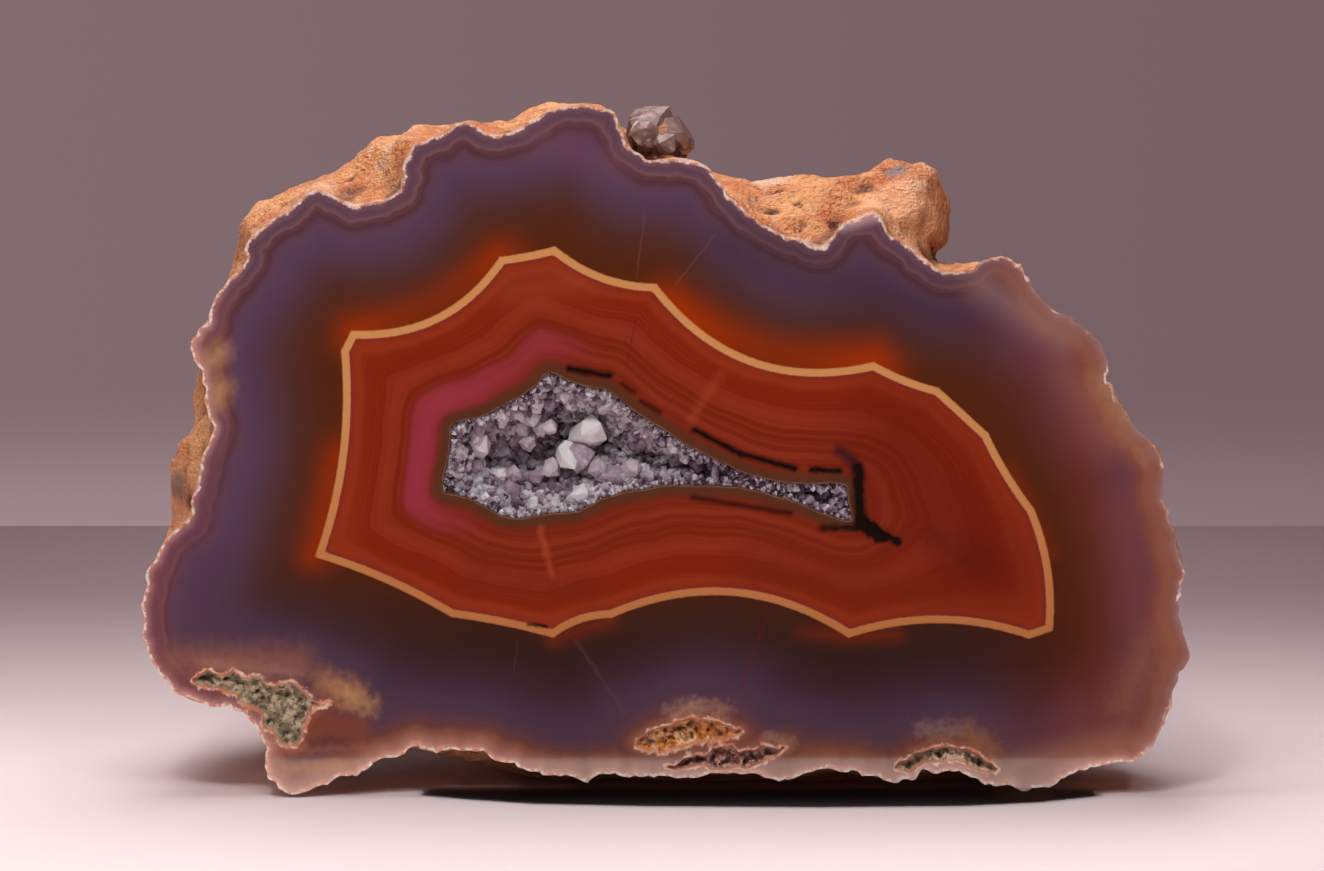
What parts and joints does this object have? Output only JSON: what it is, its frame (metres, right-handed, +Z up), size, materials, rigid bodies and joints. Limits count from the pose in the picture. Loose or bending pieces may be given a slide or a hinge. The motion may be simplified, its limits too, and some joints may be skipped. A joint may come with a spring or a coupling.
{
  "type": "condor agate half",
  "caption": "Half of an agate nodule with a polished banded face, a crystal-lined hollow and a lumpy orange rind.",
  "frame": {"origin": "bottom centre of the bounding box, on the plane that the stone rests on", "axes": "+Z up, +X to the right along the polished face, the polished face looks towards -Y"},
  "size_m": [0.1102, 0.0416, 0.0729],
  "materials": {
    "chalcedony": "polished on the face, rough orange rind elsewhere",
    "quartz": "clear crystal faces",
    "host_rock": "rough"
  },
  "bodies": {
    "root": {"agate_half": "chalcedony", "quartz_druse": "quartz", "host_rock_inclusion": "host_rock"}
  },
  "joints": []
}
